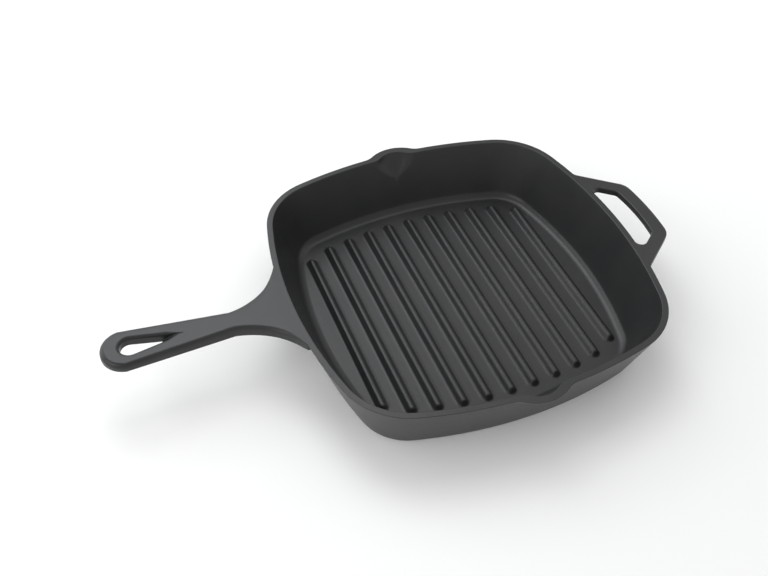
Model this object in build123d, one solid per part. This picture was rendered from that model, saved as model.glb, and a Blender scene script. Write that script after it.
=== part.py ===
from build123d import *
import os
from math import acos, atan2, cos, degrees, hypot, radians, sin, sqrt, tan

# Cast iron square grill pan, in millimetres.
# The origin is the centre of the base on the standing plane, +Z is up, the long handle points to -X,
# the helper handle to +X, and the grill ribs and the two pour spouts lie along Y.
# The real pan is one casting. Each node below is one region of it, and the regions meet face to face.

# Pan body
rim_half_width = 130.0
side_bow_radius = 325.0
corner_radius = 52.0
pan_height = 47.5
wall_draft = 19.0
rim_width = 4.5
floor_thickness = 4.5
cove_radius = 10.0
base_edge_radius = 3.0

# Grill ribs, on each side of the middle one
ribs_per_side = 5
rib_side_gap = 15.3
rib_end_gap = 9.0
rib_base_width = 6.4
rib_height = 3.8
rib_draft = 24.0
rib_edge_radius = 0.9

# Pour spouts
spout_reach = 6.9
spout_lip_radius = 29.0
spout_blend_radius = 16.0
spout_depth = 19.0
scoop_reach = 5.8
scoop_lip_radius = 24.0
scoop_blend_radius = 20.0
scoop_depth = 15.0
spout_land = 2.0
spout_fade_share = 0.03

# Long handle, whose grip rises by an angle in degrees
handle_length = 126.0
handle_end_radius = 16.4
neck_reach = 46.0
neck_half_width = 8.2
flare_radius = 52.0
flare_bury = 3.0
root_bury = 15.0
handle_tip_thickness = 7.2
handle_neck_thickness = 8.6
handle_rise = 1.3
handle_rise_radius = 600.0
root_run = 16.0
root_drop = 7.5
handle_crown_radius = 150.0
handle_top_radius = 2.4
handle_bottom_radius = 1.4

# Teardrop hanging eye at the end of the long handle
eye_radius = 7.9
eye_end_wall = 11.6
eye_length = 36.5
eye_ramp_length = 16.0

# Helper handle
helper_reach = 29.1
helper_bow = 2.0
helper_bar_half_length = 29.5
helper_leg_spread = 23.3
helper_bar_width = 10.7
helper_leg_width = 9.4
helper_corner_radius = 12.8
helper_thickness = 5.2
helper_edge_radius = 1.2
slot_corner_radius = 4.1
slot_bury = 4.0

# Room that cutting bodies take beyond what they cut
overrun = 20.0

quarter_turn = 90.0
draft_slope = tan(radians(wall_draft))
cove_angle = (quarter_turn - wall_draft) / 2
cove_run = tan(radians(cove_angle))

# The rim outline is four long side arcs that run tangent into four corner arcs.
# An inset outline keeps the arc centres and shortens every radius by the inset.
side_centre = side_bow_radius - rim_half_width
arc_gap = side_bow_radius - corner_radius
corner_centre = (sqrt(2 * arc_gap**2 - side_centre**2) - side_centre) / 2
side_half_angle = degrees(atan2(corner_centre, corner_centre + side_centre))

wall_run = pan_height * draft_slope
floor_inset = rim_width + (pan_height - floor_thickness) * draft_slope + cove_radius * cove_run
floor_half_width = rim_half_width - floor_inset
rise_angle = radians(handle_rise)


def draft_arc(centre_inset, level, radius):
    """Start, middle and end, as (inset, height), of the arc that rolls a level surface into the draft."""
    height = level + radius
    points = []
    for turn in (0, cove_angle, 2 * cove_angle):
        tilt = radians(turn)
        points.append((centre_inset - radius * sin(tilt), height - radius * cos(tilt)))
    return points


def profile_face(arc_radius, edges):
    """Upright face from edges given as (inset, height) points, facing an arc of the outline."""
    lines = []
    for points in edges:
        places = [(arc_radius - inset, height) for inset, height in points]
        if len(places) == 3:
            lines.append(ThreePointArc(*places))
        else:
            lines.append(Line(*places))
    return Plane.XZ * make_face(lines)


def round_the_outline(edges):
    """Solid of one upright profile carried round the outline, each arc turned about its own centre."""
    body = None
    corner_sweep = quarter_turn - 2 * side_half_angle
    for quarter in range(4):
        side = revolve(profile_face(side_bow_radius, edges), Axis.Z, 2 * side_half_angle)
        side = Pos(-side_centre, 0) * Rot(0, 0, -side_half_angle) * side
        corner = revolve(profile_face(corner_radius, edges), Axis.Z, corner_sweep)
        corner = Pos(corner_centre, corner_centre) * Rot(0, 0, side_half_angle) * corner
        for piece in (side, corner):
            turned = Rot(0, 0, quarter * quarter_turn) * piece
            body = turned if body is None else body + turned
    return body


def wall_edges():
    """Section of the wall: draft outside, rounded base edge, floor joint, cove, draft inside, flat rim."""
    base = draft_arc(wall_run + base_edge_radius * cove_run, 0, base_edge_radius)
    cove = draft_arc(floor_inset, floor_thickness, cove_radius)
    rim_outer = (0, pan_height)
    rim_inner = (rim_width, pan_height)
    joint_foot = (floor_inset, 0)
    return [
        (rim_outer, base[2]),
        (base[2], base[1], base[0]),
        (base[0], joint_foot),
        (joint_foot, cove[0]),
        (cove[0], cove[1], cove[2]),
        (cove[2], rim_inner),
        (rim_inner, rim_outer),
    ]


def pan_envelope():
    """Ring with the outer surface of the wall, carried past rim and base, for trimming the handles."""
    rise = overrun * draft_slope
    top = (-rise, pan_height + overrun)
    foot = (wall_run + rise, -overrun)
    inner_foot = (floor_inset, -overrun)
    inner_top = (floor_inset, pan_height + overrun)
    return round_the_outline([(top, foot), (foot, inner_foot), (inner_foot, inner_top), (inner_top, top)])


def floor_edge(x):
    """Half length of the flat floor, measured along Y at a distance x from the middle."""
    corner_start = (side_bow_radius - floor_inset) * sin(radians(side_half_angle))
    if abs(x) < corner_start:
        return sqrt((side_bow_radius - floor_inset) ** 2 - x**2) - side_centre
    reach = (corner_radius - floor_inset) ** 2 - (abs(x) - corner_centre) ** 2
    return corner_centre + sqrt(max(reach, 0))


def floor_plate():
    """Flat floor inside the cove: the outline at the floor inset, as thick as the floor."""
    side_radius = side_bow_radius - floor_inset
    round_radius = corner_radius - floor_inset
    lines = []
    for quarter in range(4):
        side = CenterArc((-side_centre, 0), side_radius, -side_half_angle, 2 * side_half_angle)
        sweep = quarter_turn - 2 * side_half_angle
        corner = CenterArc((corner_centre, corner_centre), round_radius, side_half_angle, sweep)
        for line in (side, corner):
            lines.append(Rot(0, 0, quarter * quarter_turn) * line)
    return extrude(make_face(lines), amount=floor_thickness)


def lip_points(wall_radius, share, reach, lip_radius, blend_radius):
    """Points and mid points, for x >= 0, of a wall arc that swells into a rounded lip at x = 0.

    The lip arc and the wall arc are joined by a blend arc that touches both."""
    lip = share * lip_radius
    blend = share * blend_radius
    crest = wall_radius + share * reach
    lip_centre = crest - lip
    blend_reach = wall_radius + blend
    overlap = lip_centre**2 + blend_reach**2 - (lip + blend) ** 2
    foot_angle = acos(overlap / (2 * lip_centre * blend_reach))
    blend_x = blend_reach * sin(foot_angle)
    blend_y = blend_reach * cos(foot_angle)
    foot = (wall_radius * sin(foot_angle), wall_radius * cos(foot_angle))
    turn = (blend_x * lip / (lip + blend), lip_centre + (blend_y - lip_centre) * lip / (lip + blend))
    middle_x = (foot[0] + turn[0]) / 2 - blend_x
    middle_y = (foot[1] + turn[1]) / 2 - blend_y
    pull = blend / hypot(middle_x, middle_y)
    blend_middle = (blend_x + middle_x * pull, blend_y + middle_y * pull)
    return foot_angle, foot, blend_middle, turn, crest


spout_foot_angle = lip_points(side_bow_radius, 1, spout_reach, spout_lip_radius, spout_blend_radius)[0]
scoop_foot_angle = lip_points(
    side_bow_radius - rim_width, 1, scoop_reach, scoop_lip_radius, scoop_blend_radius
)[0]
spout_half_width = side_bow_radius * sin(max(spout_foot_angle, scoop_foot_angle)) + spout_land


def lip_edges(inset, share, reach, lip_radius, blend_radius):
    """Five tangent arcs across the spout, from its left side plane to its right one."""
    wall_radius = side_bow_radius - inset
    foot_angle, foot, blend_middle, turn, crest = lip_points(
        wall_radius, share, reach, lip_radius, blend_radius
    )
    end = (spout_half_width, sqrt(wall_radius**2 - spout_half_width**2))
    land_angle = (foot_angle + atan2(end[0], end[1])) / 2
    land = (wall_radius * sin(land_angle), wall_radius * cos(land_angle))
    places = [end, land, foot, blend_middle, turn]
    right = [(x, y - side_centre) for x, y in places]
    left = [(-x, y) for x, y in right]
    return [
        ThreePointArc(left[0], left[1], left[2]),
        ThreePointArc(left[2], left[3], left[4]),
        ThreePointArc(left[4], (0, crest - side_centre), right[4]),
        ThreePointArc(right[4], right[3], right[2]),
        ThreePointArc(right[2], right[1], right[0]),
    ]


def spout_section(depth):
    """Level section of the spout region, a given depth under the rim."""
    outer_share = max(1 - depth / spout_depth, spout_fade_share)
    inner_share = max(1 - depth / scoop_depth, spout_fade_share)
    inset = depth * draft_slope
    outer = lip_edges(inset, outer_share, spout_reach, spout_lip_radius, spout_blend_radius)
    inner = lip_edges(inset + rim_width, inner_share, scoop_reach, scoop_lip_radius, scoop_blend_radius)
    ends = [Line(outer[0] @ 0, inner[0] @ 0), Line(outer[-1] @ 1, inner[-1] @ 1)]
    return Pos(0, 0, pan_height - depth) * make_face(outer + inner + ends)


def pour_spout():
    """Far pour spout: the lip and the funnel-shaped scoop fade out down the wall."""
    levels = sorted([0, scoop_depth, spout_depth], reverse=True)
    return loft([spout_section(depth) for depth in levels], ruled=True)


def side_wall():
    """Wall with its cove and base edge, notched at the rim where the two spouts sit."""
    notch_height = spout_depth + overrun
    notch = Box(2 * spout_half_width, 2 * (rim_half_width + overrun), notch_height)
    notch_centre = pan_height - spout_depth + notch_height / 2
    return round_the_outline(wall_edges()) - Pos(0, 0, notch_centre) * notch


def handle_plan():
    """Half-mirrored outline of the long handle: flared root, waist, straight taper and round end."""
    tip = rim_half_width + handle_length
    end_centre = tip - handle_end_radius
    flare_x = rim_half_width + neck_reach
    flare_y = neck_half_width + flare_radius
    run = end_centre - flare_x
    span = hypot(run, flare_y)
    lean = atan2(run, flare_y) - acos((flare_radius + handle_end_radius) / span)
    flare_end_x = rim_half_width - flare_bury
    flare_end_y = flare_y - sqrt(flare_radius**2 - (flare_x - flare_end_x) ** 2)
    inner_x = rim_half_width - root_bury
    taper_start = (flare_x + flare_radius * sin(lean), flare_y - flare_radius * cos(lean))
    taper_end = (end_centre - handle_end_radius * sin(lean), handle_end_radius * cos(lean))
    flare_turn = (atan2(flare_x - flare_end_x, flare_y - flare_end_y) - lean) / 2
    flare_middle = (flare_x - flare_radius * sin(flare_turn), flare_y - flare_radius * cos(flare_turn))
    upper = [
        Line((inner_x, flare_end_y), (flare_end_x, flare_end_y)),
        ThreePointArc((flare_end_x, flare_end_y), flare_middle, taper_start),
        Line(taper_start, taper_end),
    ]
    lower = [mirror(line, about=Plane.XZ) for line in upper]
    end = ThreePointArc(taper_end, (tip, 0), (taper_end[0], -taper_end[1]))
    inner = Line((inner_x, flare_end_y), (inner_x, -flare_end_y))
    return mirror(make_face(upper + lower + [end, inner]), about=Plane.YZ)


def handle_top(reach):
    """Height of the rising top face of the grip at a distance from the rim."""
    return pan_height + (reach - root_run) * tan(rise_angle)


def below_handle_top():
    """Body under the top face of the long handle: level at the root, then rising gently to the tip."""
    bend_half = handle_rise_radius * tan(rise_angle / 2)
    level_x = rim_half_width + root_run - bend_half
    middle_x = level_x + handle_rise_radius * sin(rise_angle / 2)
    middle_z = pan_height + handle_rise_radius * (1 - cos(rise_angle / 2))
    rising_reach = root_run + bend_half * cos(rise_angle)
    end_reach = handle_length + overrun
    level_end = (-level_x, pan_height)
    rising_start = (-(rim_half_width + rising_reach), handle_top(rising_reach))
    rising_end = (-(rim_half_width + end_reach), handle_top(end_reach))
    side = make_face(
        [
            Line((0, pan_height), level_end),
            ThreePointArc(level_end, (-middle_x, middle_z), rising_start),
            Line(rising_start, rising_end),
            Line(rising_end, (rising_end[0], 0)),
            Line((rising_end[0], 0), (0, 0)),
            Line((0, 0), (0, pan_height)),
        ]
    )
    return extrude(Plane.XZ * side, amount=flare_radius, both=True)


def handle_underside():
    """Body whose lower face is the crowned underside: straight along the grip, arched down at the root."""
    tip = rim_half_width + handle_length + overrun
    grip_slope = (handle_neck_thickness - handle_tip_thickness) / (handle_length - neck_reach)
    grip_lean = atan2(grip_slope, 1) + rise_angle
    bend_x = rim_half_width + root_run
    bend_depth = handle_neck_thickness + grip_slope * (neck_reach - root_run)
    root_x = rim_half_width - root_bury
    chord_run = bend_x - root_x
    chord_lean = atan2(root_drop, chord_run)
    root_radius = hypot(chord_run, root_drop) / (2 * sin(chord_lean - grip_lean))
    root_angle = 2 * degrees(chord_lean - grip_lean)
    half_width = flare_radius
    edge_rise = handle_crown_radius - sqrt(handle_crown_radius**2 - half_width**2)
    height = overrun + bend_depth
    section = make_face(
        [
            ThreePointArc((-half_width, edge_rise), (0, 0), (half_width, edge_rise)),
            Line((half_width, edge_rise), (half_width, height)),
            Line((half_width, height), (-half_width, height)),
            Line((-half_width, height), (-half_width, edge_rise)),
        ]
    )
    bend = Plane(
        origin=(-bend_x, 0, pan_height - bend_depth),
        x_dir=(0, 1, 0),
        z_dir=(cos(grip_lean), 0, -sin(grip_lean)),
    )
    placed = bend * section
    grip = extrude(placed, amount=-(tip - bend_x))
    pivot = bend * Pos(0, -root_radius)
    root = revolve(placed, Axis(pivot.position, (0, 1, 0)), root_angle)
    return grip + root


def hanging_eye():
    """Cutting body of the teardrop eye, whose pointed end climbs to the top face on a ramp."""
    centre = rim_half_width + handle_length - eye_end_wall - eye_radius
    lean = eye_radius / eye_length
    touch_x = eye_radius * lean
    touch_y = eye_radius * sqrt(1 - lean**2)
    point = (-(centre - eye_length), 0)
    crest = handle_top(centre - eye_length - rim_half_width)
    drop = make_face(
        [
            Line(point, (-(centre - touch_x), touch_y)),
            ThreePointArc(
                (-(centre - touch_x), touch_y), (-(centre + eye_radius), 0), (-(centre - touch_x), -touch_y)
            ),
            Line((-(centre - touch_x), -touch_y), point),
        ]
    )
    cutter = Pos(0, 0, pan_height - overrun) * extrude(drop, amount=2 * overrun)
    ramp_slope = handle_tip_thickness / eye_ramp_length
    foot = crest - (overrun + eye_ramp_length) * ramp_slope
    ramp = make_face(
        Polyline(
            (point[0] + overrun, crest + overrun * ramp_slope),
            (point[0] - overrun - eye_ramp_length, foot),
            (point[0] + overrun, foot),
            close=True,
        )
    )
    return cutter - extrude(Plane.XZ * ramp, amount=overrun, both=True)


def handle_rim_edges(body, upper):
    """Upper or lower edges that run along the sides and round the tip of the long handle, off the pan."""
    inner_x = -(rim_half_width - flare_bury)
    chosen = []
    for edge in body.edges():
        middle = edge @ 0.5
        middle_height = handle_top(-middle.X - rim_half_width) - handle_tip_thickness / 2
        is_long = edge.bounding_box().size.X > handle_neck_thickness
        if middle.X < inner_x and is_long and (middle.Z > middle_height) == upper:
            chosen.append(edge)
    return chosen


def long_handle():
    """Long handle, flush with the rim: flared root, waisted grip, rounded edges, teardrop hanging eye."""
    depth = handle_neck_thickness + root_drop + overrun
    height = depth + handle_top(handle_length) - pan_height + overrun
    body = Pos(0, 0, pan_height - depth) * extrude(handle_plan(), amount=height)
    body = body & handle_underside() & below_handle_top()
    body = fillet(handle_rim_edges(body, True), handle_top_radius)
    body = fillet(handle_rim_edges(body, False), handle_bottom_radius)
    return body - hanging_eye() - pan_envelope()


def helper_handle():
    """Loop on the far side from the long handle: two slanted legs and a bowed bar round an open slot."""
    bar_x = rim_half_width + helper_reach
    corner_x = bar_x - helper_bow
    leg_slope = helper_leg_spread / helper_reach
    inner_x = rim_half_width - root_bury
    root_y = helper_bar_half_length + (corner_x - inner_x) * leg_slope
    slot_bar_x = bar_x - helper_bar_width
    slot_corner_x = corner_x - helper_bar_width
    slot_half = helper_bar_half_length - helper_leg_width / 2
    slot_root_x = rim_half_width - helper_bow / 2
    slot_root_y = slot_half + (slot_corner_x - slot_root_x) * leg_slope
    slot_inner = (rim_half_width - slot_bury, 0)
    bar_corner = (corner_x, helper_bar_half_length)
    far_corner = (corner_x, -helper_bar_half_length)
    outer = make_face(
        [
            Line((inner_x, -root_y), far_corner),
            ThreePointArc(far_corner, (bar_x, 0), bar_corner),
            Line(bar_corner, (inner_x, root_y)),
            Line((inner_x, root_y), (inner_x, -root_y)),
        ]
    )
    outer = fillet(outer.vertices().sort_by(Axis.X)[-2:], helper_corner_radius)
    slot = make_face(
        [
            Line((slot_root_x, -slot_root_y), (slot_corner_x, -slot_half)),
            ThreePointArc((slot_corner_x, -slot_half), (slot_bar_x, 0), (slot_corner_x, slot_half)),
            Line((slot_corner_x, slot_half), (slot_root_x, slot_root_y)),
            ThreePointArc((slot_root_x, slot_root_y), slot_inner, (slot_root_x, -slot_root_y)),
        ]
    )
    slot = fillet(slot.vertices(), slot_corner_radius)
    loop = extrude(outer - slot, amount=helper_thickness)
    body = Pos(0, 0, pan_height - helper_thickness) * loop
    levels = body.edges().group_by(Axis.Z)
    body = fillet(levels[0] + levels[-1], helper_edge_radius)
    return body - pan_envelope()


def grill_rib(x):
    """One rib, standing on the floor: drafted all round, round at both ends, eased along the top."""
    length = 2 * (floor_edge(x) - rib_end_gap)
    foot = Rot(0, 0, quarter_turn) * SlotOverall(length, rib_base_width)
    rib = extrude(foot, rib_height, taper=rib_draft)
    top_edges = rib.faces().sort_by(Axis.Z)[-1].edges()
    return Pos(x, 0, floor_thickness) * fillet(top_edges, rib_edge_radius)


def save(part, name):
    export_step(part, os.path.join("parts", name + ".step"))


os.makedirs("parts", exist_ok=True)
save(floor_plate(), "floor_plate")
save(side_wall(), "side_wall")
far_spout = pour_spout()
save(far_spout, "pour_spout_far")
save(mirror(far_spout, about=Plane.XZ), "pour_spout_near")
save(long_handle(), "long_handle")
save(helper_handle(), "helper_handle")
rib_pitch = (floor_half_width - rib_side_gap) / ribs_per_side
for number, step in enumerate(range(-ribs_per_side, ribs_per_side + 1), start=1):
    save(grill_rib(step * rib_pitch), f"grill_rib_{number:02d}")
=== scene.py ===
"""Square cast-iron grill pan, dressed around its packed frame.

The pan stands on z = 0 with its long handle along -X, its helper handle along +X and its ribs along Y.
Lengths are in metres. Each piece is worked out in numpy from the sizes in the property groups below.
"""

import bmesh
import bpy
import numpy as np
from bpy.props import FloatProperty, FloatVectorProperty, PointerProperty
from mathutils import Matrix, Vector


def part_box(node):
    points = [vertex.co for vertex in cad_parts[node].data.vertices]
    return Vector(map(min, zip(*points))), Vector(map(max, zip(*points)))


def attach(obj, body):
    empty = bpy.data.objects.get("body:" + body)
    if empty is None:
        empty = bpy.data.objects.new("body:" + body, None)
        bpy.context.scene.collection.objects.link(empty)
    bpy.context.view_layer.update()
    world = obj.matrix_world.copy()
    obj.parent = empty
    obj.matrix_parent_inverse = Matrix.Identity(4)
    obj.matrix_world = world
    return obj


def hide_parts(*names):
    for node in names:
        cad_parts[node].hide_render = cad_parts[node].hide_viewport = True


bl_info = {
    "name": "Cast-Iron Grill Pan",
    "version": (1, 0, 0),
    "blender": (4, 5, 0),
    "location": "View3D > Sidebar > Grill Pan",
    "description": "Builds a square cast-iron grill pan with ribs, pour spouts and two handles",
    "category": "Add Mesh",
}

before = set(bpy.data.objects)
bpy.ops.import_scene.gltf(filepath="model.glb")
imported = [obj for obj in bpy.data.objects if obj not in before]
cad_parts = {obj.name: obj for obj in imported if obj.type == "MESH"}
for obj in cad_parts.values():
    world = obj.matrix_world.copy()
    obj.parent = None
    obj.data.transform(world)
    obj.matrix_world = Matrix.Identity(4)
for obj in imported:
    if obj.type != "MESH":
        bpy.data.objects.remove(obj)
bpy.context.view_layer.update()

RIB_NODES = sorted(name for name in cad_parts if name.startswith("grill_rib_"))
WALL_LOW, WALL_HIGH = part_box("side_wall")
FLOOR_LOW, FLOOR_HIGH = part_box("floor_plate")
SPOUT_LOW, SPOUT_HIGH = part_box("pour_spout_far")
LONG_LOW, LONG_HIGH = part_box("long_handle")
HELPER_LOW, HELPER_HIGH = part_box("helper_handle")

QUARTER_TURN = np.pi / 2
# Points nearer than this are welded into one
WELD = 1e-6
# How far a face that meets another piece lies within its metal
TUCK = 4e-5
# How far the handles' tops lie above the rim, so that no two faces share a place
SHEET_LIFT = 2e-5
# Share of a level face taken by the narrow strip that keeps its shading flat beside a round edge
HOLD = 0.02
# How far the parts of a handle inside the wall reach, as a share of the rim's width
BURIED_SHARE = 0.5
# Share of that run which the handle's top sheet covers
SHEET_REACH = 0.25
# Half width of the stretch of rim at a spout where the stations lie close
SPOUT_SPAN = 0.02835
# Size of a spout where it has all but faded into the wall
LEAST_FULLNESS = 0.001
# Points along the rounding of a small edge
EDGE_POINTS = 6
# Share of the floor's overlap over which the wall's two buried ends reach
BURIED_REACH = 0.25
# Parts of the way across the flat rim at which its rings lie
RIM_RINGS = (HOLD, 0.25, 0.5, 0.75, 1 - HOLD)
# Sizes of the rings under the floor, as parts of the outermost
UNDERSIDE_RINGS = (1, 0.999, 0.75, 0.5, 0.25, 0)
# Distance from the floor's edge where its spacing of rows turns even, in reaches of the last rib's end
EVEN_FROM = 2.2
# Detail of the noise behind the patches of colour, and the stretch of it that runs from dark to pale
PATCH_DETAIL, PATCH_STRETCH = 4.0, (0.35, 0.65)
# Detail of the noise behind the grain, and the stretch of it that runs from smooth to rough
GRAIN_DETAIL, GRAIN_STRETCH = 3.0, (0.3, 0.7)
# Width of the camera's sensor in millimetres, and the nearest and farthest places that it sees
SENSOR_WIDTH, CLIP_START, CLIP_END = 36.0, 0.01, 50.0
# Distances from the middle of the pan over which the floor's glow changes from near to far
FLOOR_FADE = (0.6, 2.0)
# Heights over which the room dims, where 0 is the horizon and 1 is straight up
ROOM_FADE = (0.15, 0.40)


def length(name, description, default, soft_max=0.5):
    """Property for a length in metres."""
    return FloatProperty(
        name=name, description=description, default=default, min=0.0, soft_max=soft_max,
        unit="LENGTH", precision=5,
    )


def angle(name, description, degrees):
    """Property for an angle, with its default in degrees."""
    return FloatProperty(
        name=name, description=description, default=np.radians(degrees), subtype="ANGLE"
    )


def share(name, description, default):
    """Property for a share between 0 and 1."""
    return FloatProperty(name=name, description=description, default=default, min=0.0, max=1.0)


def colour(name, description, default):
    """Property for a linear colour."""
    return FloatVectorProperty(
        name=name, description=description, default=default, size=3, subtype="COLOR", min=0.0, max=1.0
    )


def place(name, description, default):
    """Property for a place in metres."""
    return FloatVectorProperty(
        name=name, description=description, default=default, subtype="TRANSLATION", unit="LENGTH"
    )


def direction(name, description, default):
    """Property for a direction."""
    return FloatVectorProperty(name=name, description=description, default=default, subtype="DIRECTION")


def lamp_size(name, description, default):
    """Property for the width and height of a lamp."""
    return FloatVectorProperty(name=name, description=description, default=default, size=2, unit="LENGTH")


def power(name, description, default):
    """Property for the power of a lamp in watts."""
    return FloatProperty(name=name, description=description, default=default, min=0.0, unit="POWER")


class PanBodySizes(bpy.types.PropertyGroup):
    """Sizes of the wall and floor of the pan."""

    rim_half_width: length("Rim half width", "Half the pan's width over the rim", WALL_HIGH.x)
    height: length("Height", "Height of the rim above the table", WALL_HIGH.z)
    floor_thickness: length("Floor thickness", "Thickness of the floor between the ribs", FLOOR_HIGH.z)
    side_bow_radius: length("Side bow radius", "Radius of the bowed sides of the rim", 0.325)
    corner_radius: length("Corner radius", "Radius of the rim's corners", 0.052)
    wall_draft: angle("Wall draft", "Lean of the wall from upright", 19.0)
    rim_width: length("Rim width", "Width of the flat rim", 0.0045)
    rim_easing: length("Rim easing", "Rounding of both edges of the rim", 0.0004)
    cove_radius: length("Cove radius", "Radius from the floor into the wall", 0.0070)
    foot_gain: length("Foot gain", "Extra thickness of the wall where its inside meets the floor", 0.0022)
    base_edge_radius: length("Base edge radius", "Rounding of the base edge", 0.003)
    floor_overlap: length("Floor overlap", "Reach of the floor under the cove", 0.002)


class SpoutSizes(bpy.types.PropertyGroup):
    """Sizes of the two pour spouts."""

    reach: length("Spout reach", "Reach of the lip past the rim", SPOUT_HIGH.y - WALL_HIGH.x)
    lip_radius: length("Lip radius", "Radius of the lip's nose", 0.029)
    blend_radius: length("Blend radius", "Radius from the lip into the rim", 0.016)
    depth: length("Spout depth", "Depth below the rim where the outer swelling ends", 0.019)
    scoop_reach: length("Scoop reach", "Reach of the scoop past the inner edge of the rim", 0.0058)
    scoop_lip_radius: length("Scoop lip radius", "Radius of the scoop's nose", 0.018)
    scoop_blend_radius: length("Scoop blend radius", "Radius from the scoop into the wall", 0.013)
    scoop_depth: length("Scoop depth", "Depth below the rim where the scoop ends", 0.0165)


class GrillRibSizes(bpy.types.PropertyGroup):
    """Section of the ribs. Their places, lengths and heights come from the frame."""

    crest: length("Rib crest", "Half width of the level top of a rib", 0.0006)
    reach: length("Rib reach", "Distance from a rib's middle line to where it has run out", 0.0047)


class LongHandleSizes(bpy.types.PropertyGroup):
    """Sizes of the long handle and its hanging eye."""

    reach: length("Handle reach", "Reach of the handle past the rim", -LONG_LOW.x - WALL_HIGH.x)
    end_radius: length("End radius", "Radius of the round end", 0.0164)
    neck_reach: length("Neck reach", "Distance of the narrowest place from the rim", 0.046)
    neck_half_width: length("Neck half width", "Half width of the handle where it is narrowest", 0.0082)
    flare_radius: length("Flare radius", "Radius of the flare towards the rim", 0.0535)
    notch_radius: length("Notch radius", "Rounding of the notch between flare and rim", 0.003)
    tip_thickness: length("Tip thickness", "Thickness at the round end", 0.0072)
    neck_thickness: length("Neck thickness", "Thickness at the neck", 0.0086)
    rise: angle("Rise", "Angle at which the grip rises", 1.3)
    rise_radius: length("Rise radius", "Radius from the level root into the rising grip", 0.6, soft_max=1.0)
    root_run: length("Root run", "Distance from the rim where the grip starts to rise", 0.016)
    root_arch_radius: length("Root arch radius", "Radius of the arch under the root", 0.080)
    crown_radius: length("Crown radius", "Radius across the crowned underside", 0.150)
    wing_start: length("Wing start", "Distance from the middle line where the flare's wings thin", 0.033)
    wing_fade: length("Wing fade", "Run over which the wings thin", 0.016)
    wing_thinning: length("Wing thinning", "Thinning of the wings at the notches", 0.0018)
    top_radius: length("Top edge radius", "Rounding of the upper edge", 0.0034)
    bottom_radius: length("Bottom edge radius", "Rounding of the lower edge", 0.0014)
    root_hollow: length("Root hollow", "Hollow where the underside meets the wall", 0.003)
    eye_radius: length("Eye radius", "Radius of the round end of the eye", 0.0069)
    eye_end_wall: length("Eye end wall", "Metal left between the eye and the handle's end", 0.0126)
    eye_length: length("Eye length", "Distance from the eye's centre to its point", 0.0365)
    eye_ramp_length: length("Eye ramp length", "Run of the ramp that climbs to the eye's point", 0.016)
    eye_edge_radius: length("Eye edge radius", "Rounding of the eye's upper edge", 0.0022)
    eye_lip_radius: length("Eye lip radius", "Rounding of the eye's lower edge", 0.0008)


class HelperHandleSizes(bpy.types.PropertyGroup):
    """Sizes of the looped helper handle."""

    reach: length("Helper reach", "Reach of the bar past the rim", HELPER_HIGH.x - WALL_HIGH.x)
    thickness: length("Helper thickness", "Thickness of the loop", HELPER_HIGH.z - HELPER_LOW.z)
    bow: length("Helper bow", "Bow of the bar", 0.002)
    bar_half_length: length("Bar half length", "Half length of the bar before its corners", 0.0295)
    leg_spread: length("Leg spread", "Widening of the legs towards the rim", 0.0233)
    bar_width: length("Bar width", "Width of the bar", 0.0107)
    leg_width: length("Leg width", "Width of the legs, measured along Y", 0.0094)
    corner_radius: length("Corner radius", "Radius of the outer corners", 0.0128)
    slot_corner_radius: length("Slot corner radius", "Radius of the slot's corners at the bar", 0.0041)
    root_radius: length("Root radius", "Radius where a leg runs into the rim outside", 0.006)
    slot_root_radius: length("Slot root radius", "Radius where a leg meets the rim in the slot", 0.0047)
    edge_radius: length("Edge radius", "Rounding of the loop's edges", 0.0009)
    root_hollow: length("Root hollow", "Hollow where the underside meets the wall", 0.002)


class IronFinish(bpy.types.PropertyGroup):
    """Colours and grain of the pre-seasoned iron."""

    iron_colour: colour("Iron colour", "Colour of the seasoned iron", (0.0178, 0.0185, 0.0196))
    pale_colour: colour("Pale colour", "Colour of the paler patches", (0.0222, 0.0227, 0.0236))
    shine: share("Shine", "Strength of the reflections", 0.40)
    roughness: share("Roughness", "Mean roughness of the seasoning", 0.34)
    roughness_range: share("Roughness range", "How much the roughness varies", 0.08)
    grain_size: length("Grain size", "Size of the sand-cast grain", 0.0009)
    grain_height: length("Grain height", "Height of the grain", 0.00006)
    patch_size: length("Patch size", "Size of the patches of colour", 0.03)


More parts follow.
